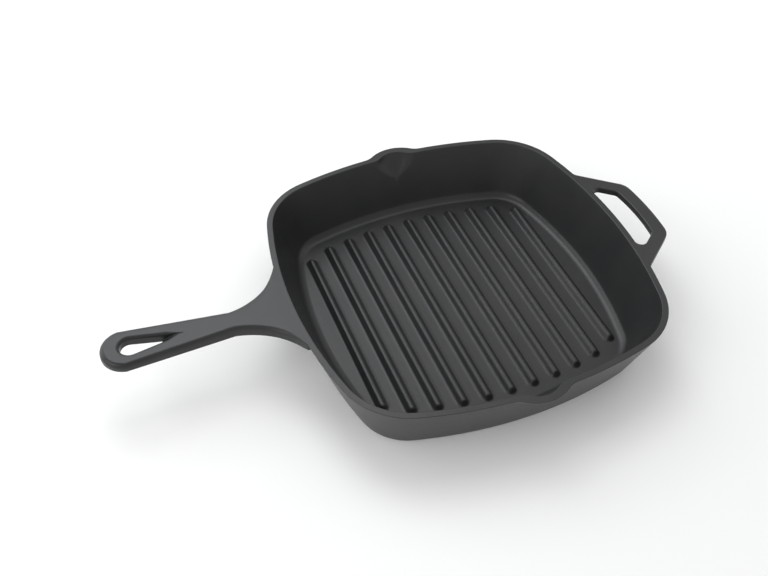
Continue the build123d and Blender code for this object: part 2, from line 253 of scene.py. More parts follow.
class StudioSettings(bpy.types.PropertyGroup):
    """Camera, lights and floor."""

    eye: place("Camera place", "Place of the camera", (-0.23645, -0.42667, 0.51522))
    forward: direction("Camera forward", "Direction the camera looks in", (0.26817, 0.64234, -0.71797))
    right: direction("Camera right", "Direction of the picture's right", (0.92922, -0.36913, 0.01683))
    focal_length: FloatProperty(
        name="Focal length", description="Focal length in millimetres on a 36 mm sensor", default=43.927
    )
    floor_size: length("Floor size", "Half width of the pale floor", 4.0, soft_max=10.0)
    floor_colour: colour("Floor colour", "Colour of the floor", (0.92, 0.92, 0.92))
    floor_glow: share("Floor glow", "White added to the floor for the camera and reflections", 0.04)
    far_glow: share("Far glow", "White added to the far floor for the camera and reflections", 0.35)
    room_strength: share("Room strength", "Strength of the light from the room", 0.60)
    horizon_strength: share("Horizon strength", "Strength of the light from the room's foot", 1.0)
    rear_place: place("Rear place", "Place of the rear soft box", (-0.174, 0.988, 1.115))
    rear_size: lamp_size("Rear size", "Width and height of the rear soft box", (0.8, 0.8))
    rear_power: power("Rear power", "Power of the rear soft box", 4.7)
    rear_colour: colour("Rear colour", "Cool tint of the rear soft box", (0.93, 0.97, 1.0))
    top_place: place("Top place", "Place of the overhead soft box", (0.055, 0.632, 1.360))
    top_size: lamp_size("Top size", "Width and height of the overhead soft box", (0.8, 0.8))
    top_power: power("Top power", "Power of the overhead soft box", 3.9)
    left_place: place("Left place", "Place of the soft box beyond the long handle", (-1.202, -0.169, 0.882))
    left_size: lamp_size("Left size", "Width and height of the left soft box", (1.0, 0.8))
    left_power: power("Left power", "Power of the left soft box", 4.4)
    right_place: place("Right place", "Place of the soft box beyond the helper handle", (0.997, 0.363, 1.061))
    right_size: lamp_size("Right size", "Width and height of the right soft box", (0.9, 0.8))
    right_power: power("Right power", "Power of the right soft box", 1.2)
    far_left_place: place("Far left place", "Place of the far left soft box", (-0.779, 0.896, 0.529))
    far_left_size: lamp_size("Far left size", "Width and height of the far left soft box", (0.9, 0.5))
    far_left_power: power("Far left power", "Power of the far left soft box", 2.8)
    lamp_colour: colour("Lamp colour", "Colour of the other soft boxes", (1.0, 1.0, 1.0))


SETTINGS = {
    "pan_body_sizes": PanBodySizes,
    "spout_sizes": SpoutSizes,
    "grill_rib_sizes": GrillRibSizes,
    "long_handle_sizes": LongHandleSizes,
    "helper_handle_sizes": HelperHandleSizes,
    "iron_finish": IronFinish,
    "studio_settings": StudioSettings,
}


class RimOutline:
    """Plan of the rim: four long side arcs that run tangent into four corner arcs.

    An outline inset by d keeps the arc centres and has every radius d shorter."""

    def __init__(self, body):
        self.half_width = body.rim_half_width
        self.side_radius = body.side_bow_radius
        self.corner_radius = body.corner_radius
        self.side_centre = self.side_radius - self.half_width
        gap = self.side_radius - self.corner_radius
        self.corner_centre = (np.sqrt(2 * gap**2 - self.side_centre**2) - self.side_centre) / 2
        self.side_half_angle = np.arctan2(self.corner_centre, self.corner_centre + self.side_centre)

    def arc_at(self, x, y):
        """Centre and radius of the arc that is nearest to each place, by quadrant symmetry."""
        across, along = np.abs(x), np.abs(y)
        turn = np.arctan2(along - self.corner_centre, across - self.corner_centre)
        on_side_x = turn < self.side_half_angle
        on_side_y = turn > QUARTER_TURN - self.side_half_angle
        on_side_y |= (across < self.corner_centre) & (along > across)
        on_side_x &= ~on_side_y
        corner = np.full_like(across, self.corner_centre)
        centre_x = np.where(on_side_x, -self.side_centre, np.where(on_side_y, 0.0, corner))
        centre_y = np.where(on_side_x, 0.0, np.where(on_side_y, -self.side_centre, corner))
        radius = np.where(on_side_x | on_side_y, self.side_radius, self.corner_radius)
        return np.copysign(1.0, x) * centre_x, np.copysign(1.0, y) * centre_y, radius

    def outside(self, x, y):
        """Distance of each place outside the rim's outer edge, negative inside."""
        centre_x, centre_y, radius = self.arc_at(x, y)
        return np.hypot(x - centre_x, y - centre_y) - radius

    def outward(self, x, y):
        """Unit direction straight away from the outline at each place."""
        centre_x, centre_y, _ = self.arc_at(x, y)
        away = np.stack([x - centre_x, y - centre_y], axis=-1)
        return away / np.linalg.norm(away, axis=-1, keepdims=True)

    def side_x(self, y, inset):
        """Distance from the YZ plane to the inset side arc, at each y.

        The root of the arc's radius squared less y squared, less the distance from its centre to the
        plane."""
        return np.sqrt((self.side_radius - inset) ** 2 - y**2) - self.side_centre

    def sunk(self, points, inward, offset, drop):
        """Edge places moved into the metal by the offset, and by the drop straight towards the pan."""
        offset = np.broadcast_to(offset, len(points))
        away = self.outward(points[:, 0], points[:, 1])
        return points + offset[:, None] * inward - drop[:, None] * away

    def between(self, start, stop, parts, bowed, inset=0):
        """Places between two rows of places, which take on the inset outline's bow as bowed grows to 1."""
        rows = lerp(start, stop, parts)
        chord = lerp(self.side_x(start[:, 1], inset), self.side_x(stop[:, 1], inset), parts)
        rows[..., 0] += bowed * (self.side_x(rows[..., 1], inset) - chord)
        return rows

    def half_length(self, x, inset):
        """Half length along Y of the inset outline, at each x.

        The y of an arc's centre plus the root of its radius squared less the distance along X squared,
        with the long side's arc first, then the corner's, then the end's."""
        across = np.abs(x)
        side = self.side_radius - inset
        corner = self.corner_radius - inset
        by_side = np.sqrt(np.maximum(side**2 - across**2, 0)) - self.side_centre
        past_centre = across - self.corner_centre
        by_corner = self.corner_centre + np.sqrt(np.maximum(corner**2 - past_centre**2, 0))
        by_end = np.sqrt(np.maximum(side**2 - (across + self.side_centre) ** 2, 0))
        side_ends = side * np.sin(self.side_half_angle)
        corner_ends = self.corner_centre + corner * np.cos(self.side_half_angle)
        return np.where(across < side_ends, by_side, np.where(across < corner_ends, by_corner, by_end))


def rolled_edge(radius, lean, steps):
    """Arc that rolls a level surface into a wall that leans outward: (setback, rise) from its level start.

    Setback grows towards the wall. The arc turns through a quarter turn less the lean: setback is the
    radius times the sine of the turn, and rise the radius times 1 less its cosine."""
    turn = np.linspace(0, QUARTER_TURN - lean, steps)
    return radius * np.sin(turn), radius * (1 - np.cos(turn))


def quarter_round(points):
    """Setback and depth along a round edge of radius 1, from its upright foot to its level top.

    They are 1 less the cosine and 1 less the sine of the turn."""
    turn = np.linspace(0, QUARTER_TURN, points)
    return list(zip(1 - np.cos(turn), 1 - np.sin(turn)))


def lip_bulge(angles, wall_radius, fullness, reach, lip_radius, blend_radius):
    """Swelling of a wall arc into a lip, in plan and seen from the arc's centre.

    A lip circle sits on the axis and a blend circle touches it and the wall. Each circle is solved for
    its distance from the arc's centre at the given angles. Fullness scales reach and both radii."""
    lip = fullness * lip_radius
    blend = fullness * blend_radius
    lip_centre = wall_radius + fullness * reach - lip
    blend_reach = wall_radius + blend
    overlap = lip_centre**2 + blend_reach**2 - (lip + blend) ** 2
    foot_angle = np.arccos(np.minimum(overlap / (2 * lip_centre * blend_reach), 1))
    blend_x = blend_reach * np.sin(foot_angle)
    blend_y = blend_reach * np.cos(foot_angle)
    near = lip / (lip + blend)
    turn_angle = np.arctan2(blend_x * near, lip_centre + (blend_y - lip_centre) * near)
    away = np.abs(angles)
    within_lip = np.maximum(lip**2 - (lip_centre * np.sin(away)) ** 2, 0)
    on_lip = lip_centre * np.cos(away) + np.sqrt(within_lip)
    from_foot = away - foot_angle
    within_blend = np.maximum(blend**2 - (blend_reach * np.sin(from_foot)) ** 2, 0)
    on_blend = blend_reach * np.cos(from_foot) - np.sqrt(within_blend)
    distance = np.where(away < turn_angle, on_lip, np.where(away < foot_angle, on_blend, wall_radius))
    return distance - wall_radius


def grid_faces(rows, columns, close_rows=False, close_columns=False):
    """Four-cornered faces of a grid of points, joined round where it is closed."""
    row_starts = np.arange(rows if close_rows else rows - 1)
    column_starts = np.arange(columns if close_columns else columns - 1)
    row, column = np.meshgrid(row_starts, column_starts, indexing="ij")
    next_row, next_column = (row + 1) % rows, (column + 1) % columns
    corners = [(row, column), (row, next_column), (next_row, next_column), (next_row, column)]
    return np.stack([r * columns + c for r, c in corners], axis=-1).reshape(-1, 4)


def mesh_piece(name, grids, nodes):
    """One closed piece from grids of points, each given as (points, close_rows, close_columns).

    Points that coincide are welded, the normals are turned outward, and the piece rides on the pan and
    stands for the given CAD nodes."""
    points, faces, start = [], [], 0
    for grid, close_rows, close_columns in grids:
        rows, columns, _ = grid.shape
        points.append(grid.reshape(-1, 3))
        faces.append(grid_faces(rows, columns, close_rows, close_columns) + start)
        start += rows * columns
    mesh = bpy.data.meshes.new(name)
    mesh.from_pydata(np.concatenate(points), [], np.concatenate(faces))
    shape = bmesh.new()
    shape.from_mesh(mesh)
    bmesh.ops.remove_doubles(shape, verts=shape.verts, dist=WELD)
    bmesh.ops.dissolve_degenerate(shape, edges=shape.edges, dist=WELD)
    bmesh.ops.recalc_face_normals(shape, faces=shape.faces)
    open_edges = sum(1 for edge in shape.edges if not edge.is_manifold)
    shape.to_mesh(mesh)
    shape.free()
    if open_edges:
        raise RuntimeError(f"{name} is not closed: {open_edges} open edges")
    mesh.polygons.foreach_set("use_smooth", np.ones(len(mesh.polygons), dtype=bool))
    mesh.update()
    piece = bpy.data.objects.new(name, mesh)
    bpy.context.scene.collection.objects.link(piece)
    mesh.materials.append(iron_material(bpy.context.scene.iron_finish))
    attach(piece, "root")
    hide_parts(*nodes)
    return piece


def with_mirror(grids):
    """The given grids and their mirror images across the upright plane through both handles."""
    return grids + [(grid * [1, -1, 1], rows, columns) for grid, rows, columns in grids]


def steps_between(stops, counts):
    """Values that run through the stops with the given number of steps between each two."""
    runs = [np.linspace(a, b, n, endpoint=False) for a, b, n in zip(stops, stops[1:], counts)]
    return np.concatenate(runs + [stops[-1:]])


def rim_stations(outline):
    """Centre, radius, direction and spout angle of each station round the rim, closer at the spouts."""
    half_angle = outline.side_half_angle
    spout_angle = SPOUT_SPAN / outline.side_radius
    side_steps, spout_steps, corner_steps = 36, 96, 36
    plain = np.linspace(-half_angle, half_angle, 2 * side_steps, endpoint=False)
    spouted = steps_between(
        np.array([-half_angle, -spout_angle, spout_angle, half_angle]), [side_steps, spout_steps, side_steps]
    )[:-1]
    corner = np.linspace(half_angle, QUARTER_TURN - half_angle, corner_steps, endpoint=False)
    centres, radii, directions, spout_angles = [], [], [], []
    for quarter in range(4):
        side = spouted if quarter % 2 else plain
        turn = quarter * QUARTER_TURN
        towards = np.array([np.cos(turn), np.sin(turn)])
        left = np.array([-np.sin(turn), np.cos(turn)])
        for angles, centre, radius in (
            (side, -outline.side_centre * towards, outline.side_radius),
            (corner, outline.corner_centre * (towards + left), outline.corner_radius),
        ):
            centres.append(np.tile(centre, (len(angles), 1)))
            radii.append(np.full(len(angles), radius))
            directions.append(np.outer(np.cos(angles), towards) + np.outer(np.sin(angles), left))
            is_spout = side is spouted and angles is side
            spout_angles.append(angles if is_spout else np.full(len(angles), QUARTER_TURN))
    return tuple(np.concatenate(values) for values in (centres, radii, directions, spout_angles))


def pan_wall_points(body, spout):
    """Wall as a section carried round the rim outline: base edge, outside, rim, inside and cove.

    Each ring of the section has a height and an inset from the rim's outer edge. A station's place is
    the centre of its arc plus the radius less the inset, along its direction. Near a spout the insets
    lessen by the lip's swelling, which fades with depth below the rim."""
    outline = RimOutline(body)
    centres, radii, directions, spout_angles = rim_stations(outline)
    slope = np.tan(body.wall_draft)
    half_turn = (QUARTER_TURN - body.wall_draft) / 2
    height, easing = body.height, body.rim_easing
    lean = inner_lean(body)

    def outer_inset(depth):
        fullness = np.clip(1 - depth / spout.depth, LEAST_FULLNESS, 1)
        wall_radius = outline.side_radius - depth * slope
        return depth * slope - lip_bulge(
            spout_angles, wall_radius, fullness, spout.reach, spout.lip_radius, spout.blend_radius
        )

    def inner_inset(depth):
        fullness = np.clip(1 - (depth / spout.scoop_depth) ** 2, LEAST_FULLNESS, 1)
        inset = body.rim_width + depth * np.tan(lean)
        wall_radius = outline.side_radius - inset
        return inset - lip_bulge(
            spout_angles, wall_radius, fullness, spout.scoop_reach, spout.scoop_lip_radius,
            spout.scoop_blend_radius,
        )

    base_points, cove_points = 7, 12
    outside_steps, inside_steps = [8, 22], [20, 6]
    flat = np.zeros(len(radii))
    base_start = height * slope + body.base_edge_radius * np.tan(half_turn)
    inset_end = floor_inset(body)
    buried_end = flat + inset_end + BURIED_REACH * body.floor_overlap

    # From under the floor round the base edge and up the outside
    rings = [(buried_end, TUCK), (flat + inset_end, 0.0), (flat + (inset_end + base_start) / 2, 0.0)]
    setback, rise = rolled_edge(body.base_edge_radius, body.wall_draft, base_points)
    rings += [(flat + base_start - s, r) for s, r in zip(setback, rise)]
    stops = np.array([height - rise[-1], spout.depth, easing])
    for depth in steps_between(stops, outside_steps)[1:]:
        rings.append((outer_inset(depth), height - depth))

    # Over the rim
    for back, down in quarter_round(EDGE_POINTS)[1:]:
        rings.append((outer_inset(easing * down) + easing * back, height - easing * down))
    outer_edge, inner_edge = outer_inset(0.0) + easing, inner_inset(0.0) - easing
    for part in RIM_RINGS:
        rings.append((outer_edge + (inner_edge - outer_edge) * part, height))
    for back, down in quarter_round(EDGE_POINTS)[::-1]:
        rings.append((inner_inset(easing * down) - easing * back, height - easing * down))

    # Down the inside and through the cove
    setback, rise = rolled_edge(body.cove_radius, lean, cove_points)
    cove_top = height - body.floor_thickness - rise[-1]
    for depth in steps_between(np.array([easing, spout.scoop_depth, cove_top]), inside_steps)[1:-1]:
        rings.append((inner_inset(depth), height - depth))
    for s, r in zip(setback[::-1], rise[::-1]):
        rings.append((flat + inset_end - s, body.floor_thickness + r))
    rings.append((buried_end, body.floor_thickness - TUCK))

    insets = np.array([inset for inset, _ in rings])
    heights = np.array([level for _, level in rings])[:, None, None]
    plan = centres + (radii - insets)[..., None] * directions
    return np.concatenate([plan, np.broadcast_to(heights, plan.shape[:2] + (1,))], axis=-1)


def inner_lean(body):
    """Lean of the wall's inside from upright: the wall's own lean and the extra thickness at its foot."""
    drop = body.height - body.floor_thickness
    return np.arctan(np.tan(body.wall_draft) + body.foot_gain / drop)


def floor_inset(body):
    """Inset of the line where the flat floor meets the cove."""
    lean = inner_lean(body)
    drop = body.height - body.floor_thickness
    return body.rim_width + drop * np.tan(lean) + body.cove_radius * np.tan((QUARTER_TURN - lean) / 2)


def rib_rise(ribs, height, distance):
    """Height of a rib above the floor at each distance from its middle line.

    height * cos(pi / 2 * share)^2, where share runs from 0 at the end of the flat crest to 1 at the rib's
    reach: soft shoulders and a soft run into the floor."""
    share_out = np.clip((distance - ribs.crest) / (ribs.reach - ribs.crest), 0, 1)
    return height * np.cos(QUARTER_TURN * share_out) ** 2


def ribbed_floor_grids(body, ribs):
    """Floor with its ribs: a grid of columns along Y over the floor outline, raised at the ribs.

    The height at a place is the rib section at its distance from the nearest rib's middle line, which
    rounds the ribs' ends. A band and shrinking rings close the underside."""
    outline = RimOutline(body)
    boxes = [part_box(node) for node in RIB_NODES]
    first_low, first_high = boxes[0]
    half_width = (first_high.x - first_low.x) / 2
    soft = ribs.reach - half_width
    middles = np.array([(low.x + high.x) / 2 for low, high in boxes])
    half_lengths = np.array([(high.y - low.y) / 2 for low, high in boxes]) - half_width
    edge_inset = floor_inset(body) - body.floor_overlap

    # Lines along Y, close together on the flanks of the ribs
    flank_lines, corner_lines, end_lines, gap_lines = 14, 8, 10, 5
    half_lines = np.append(0, np.linspace(ribs.crest, ribs.reach, flank_lines))
    rib_lines = np.concatenate([-half_lines[:0:-1], half_lines])
    last_line = middles[-1] + ribs.reach
    end_x = outline.half_width - edge_inset
    corner_run = (outline.corner_radius - edge_inset) * np.cos(outline.side_half_angle)
    corner_x = outline.corner_centre + corner_run
    side_x = np.concatenate([
        np.linspace(last_line, corner_x, corner_lines)[1:],
        corner_x + (end_x - corner_x) * np.sin(np.linspace(0, QUARTER_TURN, end_lines)[1:]),
    ])
    columns = [-side_x[::-1]]
    for number, middle in enumerate(middles):
        columns.append(middle + rib_lines)
        if number + 1 < len(middles):
            gap = np.linspace(middle + ribs.reach, middles[number + 1] - ribs.reach, gap_lines)
            columns.append(gap[1:-1])
    columns = np.concatenate(columns + [side_x])

    # Rows along X, close together at the round ends of the ribs and squeezed with the outline
    floor_end = outline.half_length(middles[-1:], floor_inset(body))[0]
    rib_gap = floor_end - half_lengths[-1] - half_width
    rib_start = body.floor_overlap + rib_gap - 2 * soft
    rib_round = rib_start + 2 * half_width + 4 * soft
    edge_steps, round_steps, run_steps, middle_rows = 5, 30, 6, 25
    stops = np.array([0, rib_start, rib_round, EVEN_FROM * rib_round])
    from_edge = steps_between(stops, [edge_steps, round_steps, run_steps])
    reach = outline.half_length(columns, edge_inset)
    reach_at_last = outline.half_length(np.array([last_line]), edge_inset)[0]
    squeeze = np.minimum(reach / reach_at_last, 1)
    ends = reach - squeeze * from_edge[:, None]
    middle_shares = np.linspace(1, -1, middle_rows)[1:-1]
    rows = np.concatenate([ends, middle_shares[:, None] * ends[-1], -ends[::-1]])

    x = np.broadcast_to(columns, rows.shape)
    past_end = np.maximum(np.abs(rows)[..., None] - half_lengths, 0)
    distance = np.hypot(x[..., None] - middles, past_end).min(axis=-1)
    rise = rib_rise(ribs, first_high.z - first_low.z, distance)
    top = np.stack([x, rows, body.floor_thickness + rise], axis=-1)

    # The edge band and the underside
    rim = np.concatenate([top[0, :-1], top[:-1, -1], top[-1, :0:-1], top[:0:-1, 0]])
    away = outline.outward(rim[:, 0], rim[:, 1])
    foot = rim[:, :2] - body.floor_overlap * away
    rings = [rim] + [np.column_stack([foot * part, np.zeros(len(foot))]) for part in UNDERSIDE_RINGS]
    return [(top, False, False), (np.stack(rings), False, True)]


def arc_points(centre, radius, start, end, steps, metal_inside):
    """Points on an arc and, at each, the unit direction into the metal."""
    angles = np.linspace(start, end, steps)
    away = np.column_stack([np.cos(angles), np.sin(angles)])
    return np.asarray(centre) + radius * away, -away if metal_inside else away


def line_points(start, end, steps, inward):
    """Points on a straight edge and, at each, the unit direction into the metal."""
    part = np.linspace(0, 1, steps)[:, None]
    points = (1 - part) * np.asarray(start) + part * np.asarray(end)
    return points, np.tile(inward, (steps, 1))


def angle_of(point, centre):
    """Direction of a point from a centre, as an angle."""
    return np.arctan2(point[1] - centre[1], point[0] - centre[0])


def circles_meet(centre_a, reach_a, centre_b, reach_b, left):
    """Place at the given distances from two centres, on the left or right of the line from a to b.

    Its way along that line is the span squared plus reach a squared less reach b squared, over twice the
    span, and its way across makes this up to reach a."""
    centre_a, centre_b = np.asarray(centre_a), np.asarray(centre_b)
    span = np.linalg.norm(centre_b - centre_a)
    along = (span**2 + reach_a**2 - reach_b**2) / (2 * span)
    across = np.sqrt(reach_a**2 - along**2)
    unit = (centre_b - centre_a) / span
    side = np.array([-unit[1], unit[0]]) * (1 if left else -1)
    return centre_a + along * unit + across * side


def circle_entry(start, way, centre, reach):
    """Place where a straight line through start first comes within reach of the centre.

    It is the lesser root of the quadratic that sets the distance from the centre equal to the reach."""
    offset = start - centre
    along = offset @ way
    return start - (along + np.sqrt(along**2 - offset @ offset + reach**2)) * way


def joined(*pieces):
    """One run of stations from pieces that each start where the last one ended."""
    points = [pieces[0][0]] + [points[1:] for points, _ in pieces[1:]]
    inward = [pieces[0][1]] + [inward[1:] for _, inward in pieces[1:]]
    return np.concatenate(points), np.concatenate(inward)


def smooth_step(value):
    """Value clipped to 0 to 1 and eased at both ends: its square times 3 less twice the value."""
    value = np.clip(value, 0, 1)
    return value * value * (3 - 2 * value)


def hollow_drop(gap, radius, lean):
    """Drop of a level underside that runs through a round hollow into a wall that leans away below it.

    The gap is measured to the wall at the level of the underside. The drop is the radius less the root
    of the radius squared less the way into the hollow squared. Past the wall it stays even."""
    centre = radius * (1 - np.sin(lean)) / np.cos(lean)
    inside = np.clip(centre - gap, 0, radius * np.cos(lean))
    return radius - np.sqrt(radius**2 - inside**2)


def lerp(start, end, part):
    """Places between start and end, for an array of parts in a new first axis."""
    part = np.asarray(part).reshape((-1,) + (1,) * np.ndim(start))
    return start * (1 - part) + end * part


class LongHandle:
    """Half of the long handle, for y >= 0, as stations from the tip along its edge to the rim.

    The handle is worked out with +X away from the pan and turned to -X when its points are made."""

    # Steps along the end arc, the taper, the neck, the flare, the notch arc and the buried run
    END, TAPER, NECK, FLARE, NOTCH, ROOT = 26, 34, 12, 34, 10, 18
    # Steps before the notch over which the round upper edge narrows to the rim's own
    EASE = 16
    # Share of the buried run over which it reaches its full depth in the wall
    ROOT_CLIMB = 0.25
    # Least spacing of the places on the middle line before the rim, and their spacing beyond it, as
    # shares of the widest
    LEAST_SPACING, ROOT_SPACING = 0.25, 0.1
    # Points round the upper edge, then rows across the top and across the underside
    TOP_POINTS, TOP_ROWS, UNDER_ROWS = 9, 10, 22
    # Share of the top taken by the narrow strip beside its round edge
    STRIP = 0.002
    # Least depth of the side's lower end, in radii of the upper edge
    LEAST_SIDE = 1.05
    # Share of the way across over which the underside takes up its own height
    SETTLING = 1 / 3
    # Share of the eye's wall that lies below its last upright row
    LOWER_WALL = 0.25
    # Largest rounding of the eye's upper edge, as a share of its wall's depth
    LARGEST_EDGE = 0.5
    # Rows down the eye's wall, rows to its lower lip, and points round that lip
    WALL_ROWS, LIP_ROWS, LIP_POINTS = 4, 6, 4

    def __init__(self, body, sizes):
        self.body, self.sizes = body, sizes
        self.outline = RimOutline(body)
        self.slope = np.tan(body.wall_draft)
        self.tip = body.rim_half_width + sizes.reach
        self.set_edge()
        self.set_eye()

    def set_edge(self):
        """Outer edge: end arc, taper, flare and notch arc, then a buried run along the rim."""
        s = self.sizes
        end_centre = np.array([self.tip - s.end_radius, 0])
        flare_centre = np.array([self.body.rim_half_width + s.neck_reach, s.neck_half_width + s.flare_radius])
        run = end_centre[0] - flare_centre[0]
        span = np.hypot(run, flare_centre[1])
        lean = np.arctan2(run, flare_centre[1]) - np.arccos((s.flare_radius + s.end_radius) / span)
        inward = np.array([-np.sin(lean), -np.cos(lean)])
        taper_start = end_centre - inward * s.end_radius
        taper_end = flare_centre + inward * s.flare_radius
        wall_centre = np.array([-self.outline.side_centre, 0])
        notch_centre = circles_meet(
            flare_centre, s.flare_radius - s.notch_radius,
            wall_centre, self.outline.side_radius + s.notch_radius - TUCK, left=True,
        )
        flare_stop = angle_of(notch_centre, flare_centre)
        wall_touch = angle_of(wall_centre, notch_centre)
        if wall_touch > flare_stop:
            wall_touch -= 2 * np.pi
        self.point_x = self.tip - s.eye_end_wall - s.eye_radius - s.eye_length
        part = (taper_start[0] - self.point_x) / (taper_start[0] - taper_end[0])
        beside_point = taper_start + part * (taper_end - taper_start)
        points, inward_way = joined(
            arc_points(end_centre, s.end_radius, 0, angle_of(taper_start, end_centre), self.END + 1, True),
            line_points(taper_start, beside_point, self.TAPER + 1, inward),
            line_points(beside_point, taper_end, self.NECK + 1, inward),
            arc_points(
                flare_centre, s.flare_radius, angle_of(taper_end, flare_centre), flare_stop,
                self.FLARE + 1, False,
            ),
            arc_points(notch_centre, s.notch_radius, flare_stop, wall_touch, self.NOTCH + 1, False),
        )
        self.points, self.inward = points, inward_way
        from_rim = len(points) - 1 - np.arange(len(points))
        self.sink = smooth_step(1 - from_rim / self.NOTCH)
        near_wall = smooth_step(1 - (from_rim - self.NOTCH) / self.EASE)
        self.top_radius = s.top_radius + (self.body.rim_easing - s.top_radius) * near_wall
        self.root_part = np.linspace(0, 1, self.ROOT + 1)[1:]
        self.bowed = np.append(self.sink, np.ones(self.ROOT))
        self.root_y = points[-1, 1] * (1 - self.root_part)

    def top(self, x):
        """Height of the top: level at the root, then an arc into the rising grip.

        On the arc it climbs by the radius less the root of the radius squared less the run squared."""
        s = self.sizes
        arc_run = s.rise_radius * np.sin(s.rise)
        arc_start = self.body.rim_half_width + s.root_run - s.rise_radius * np.tan(s.rise / 2)
        past_start = np.maximum(x - arc_start, 0)
        on_arc = s.rise_radius - np.sqrt(s.rise_radius**2 - np.minimum(past_start, arc_run) ** 2)
        climb = on_arc + np.tan(s.rise) * np.maximum(past_start - arc_run, 0)
        return self.body.height + np.maximum(climb, SHEET_LIFT)

    def underside(self, x, y):
        """Height of the underside: straight grip, arched root, crown across, and a hollow at the wall.

        The grip thins evenly from the neck to the tip. The arch and the crown are arcs, worked out as
        the top's is. The wings of the flare are eased to be thinner and have no hollow."""
        s = self.sizes
        from_rim = x - self.body.rim_half_width
        taper = (s.neck_thickness - s.tip_thickness) / (s.reach - s.neck_reach)
        grip = s.neck_thickness - taper * (from_rim - s.neck_reach)
        grip = grip - np.tan(s.rise) * (from_rim - s.root_run)
        into_root = np.clip(s.root_run - from_rim, 0, s.root_arch_radius)
        arch = s.root_arch_radius - np.sqrt(s.root_arch_radius**2 - into_root**2)
        wing = smooth_step((np.abs(y) - s.wing_start) / s.wing_fade)
        depth = grip + arch - s.crown_radius + np.sqrt(s.crown_radius**2 - y**2) - s.wing_thinning * wing
        gap = self.outline.outside(x, y) + depth * self.slope
        drop = (1 - wing) * hollow_drop(gap, s.root_hollow, self.body.wall_draft)
        return self.body.height - depth - drop

    def depth_below(self, plan):
        """Depth of the underside below the top, at plan places."""
        return self.top(plan[..., 0]) - self.underside(plan[..., 0], plan[..., 1])

    def raised(self, plan, depth):
        """Points at a depth below the top, turned to the long handle's side of the pan."""
        height = np.broadcast_to(self.top(plan[..., 0]) - depth, plan.shape[:-1])
        return np.stack([-plan[..., 0], plan[..., 1], height], axis=-1)

    def ring(self, offset, depth):
        """Plan places and depths of one ring, from the tip to the rim and along the buried run.

        In the notch the edge sinks back with the draft of the wall, and the buried run goes on from the
        rim's rounded edge into the wall's metal, except at the very top."""
        depth = np.broadcast_to(depth, len(self.points))
        free = self.outline.sunk(self.points, self.inward, offset, self.sink * depth * self.slope)
        at_rim = np.broadcast_to(offset, len(self.points))[-1] + depth[-1] * self.slope
        buried = BURIED_SHARE * self.body.rim_width * np.minimum(self.root_part / self.ROOT_CLIMB, 1)
        sunk = min(depth[-1] / self.body.rim_easing, 1)
        inset = at_rim + buried * (sunk + SHEET_REACH * (1 - sunk))
        root = np.column_stack([self.outline.side_x(self.root_y, inset), self.root_y])
        return np.concatenate([free, root]), np.concatenate([depth, np.full(self.ROOT, depth[-1])])

    def set_eye(self):
        """Eye outline, and how deep its wall goes before it meets the ramp or the lower lip."""
        s = self.sizes
        centre = np.array([self.point_x + s.eye_length, 0])
        touch_angle = QUARTER_TURN + np.arcsin(s.eye_radius / s.eye_length)
        into_metal = np.array([np.cos(touch_angle), np.sin(touch_angle)])
        points, inward = joined(
            arc_points(centre, s.eye_radius, 0, touch_angle, self.END + 1, False),
            line_points(centre + s.eye_radius * into_metal, [self.point_x, 0], self.TAPER + 1, into_metal),
        )
        self.eye, self.eye_inward = points, inward
        ramp_depth = self.ramp_depth(points[:, 0])
        lip_depth = self.depth_below(points) - s.eye_lip_radius
        self.through = ramp_depth >= lip_depth
        self.eye_depth = np.minimum(ramp_depth, lip_depth)
        self.eye_edge = np.minimum(s.eye_edge_radius, self.LARGEST_EDGE * self.eye_depth)
        first = np.argmax(~self.through)
        part = (points[:, 0] - self.point_x) / (points[first, 0] - self.point_x)
        x = np.where(self.through, points[:, 0], points[first, 0])
        y = np.where(self.through, points[:, 1], points[first, 1] * part)
        crest = self.top(self.point_x)
        # The underside's height depends on x, so the foot of the ramp is found in a few rounds
        for _ in range(4):
            fall = (crest - self.underside(x, y) - s.eye_lip_radius) / s.tip_thickness
            x = np.where(self.through, x, self.point_x + s.eye_ramp_length * np.sqrt(fall))
        self.lip = np.column_stack([x, y])
        out = np.where(self.through[:, None], inward, np.array([-1.0, 0.0]))
        self.under_lip = self.lip + s.eye_lip_radius * out

    def ramp_depth(self, x):
        """Depth of the eye's ramp below the top, which grows with the square of the way from the point."""
        s = self.sizes
        fall = s.tip_thickness * (np.maximum(x - self.point_x, 0) / s.eye_ramp_length) ** 2
        return self.top(x) - self.top(self.point_x) + fall

    def middle_line(self, start, stop):
        """Places on the middle line for the stations beyond the eye, from its point to the rim."""
        steps = np.abs(np.diff(self.points[self.END + self.TAPER:, 0]))
        widest = steps.max()
        steps = np.maximum(steps, self.LEAST_SPACING * widest)
        steps = np.append(steps, np.full(self.ROOT, self.ROOT_SPACING * widest))
        x = start + (stop - start) * np.cumsum(steps) / steps.sum()
        return np.column_stack([x, 0 * x])

    def top_grid(self):
        """Side and top, from the lower edge over the round upper edge to the eye or the middle line."""
        lower = self.side_depth()
        rings = [self.ring(0.0, lower * (1 - part) + self.top_radius * part) for part in (0, 1 / 3, 2 / 3)]
        for back, down in quarter_round(self.TOP_POINTS):
            rings.append(self.ring(self.top_radius * back, self.top_radius * down))
        rows = [self.raised(plan, depth) for plan, depth in rings]
        edge = rings[-1][0]
        eye = self.eye + self.eye_edge[:, None] * self.eye_inward
        inner = np.concatenate([eye, self.middle_line(eye[-1, 0], edge[-1, 0])])
        parts = np.append(self.STRIP, np.linspace(0, 1, self.TOP_ROWS)[1:])
        flat = self.outline.between(edge, inner, parts, self.bowed)
        return np.stack(rows + [self.raised(plan, 0) for plan in flat])

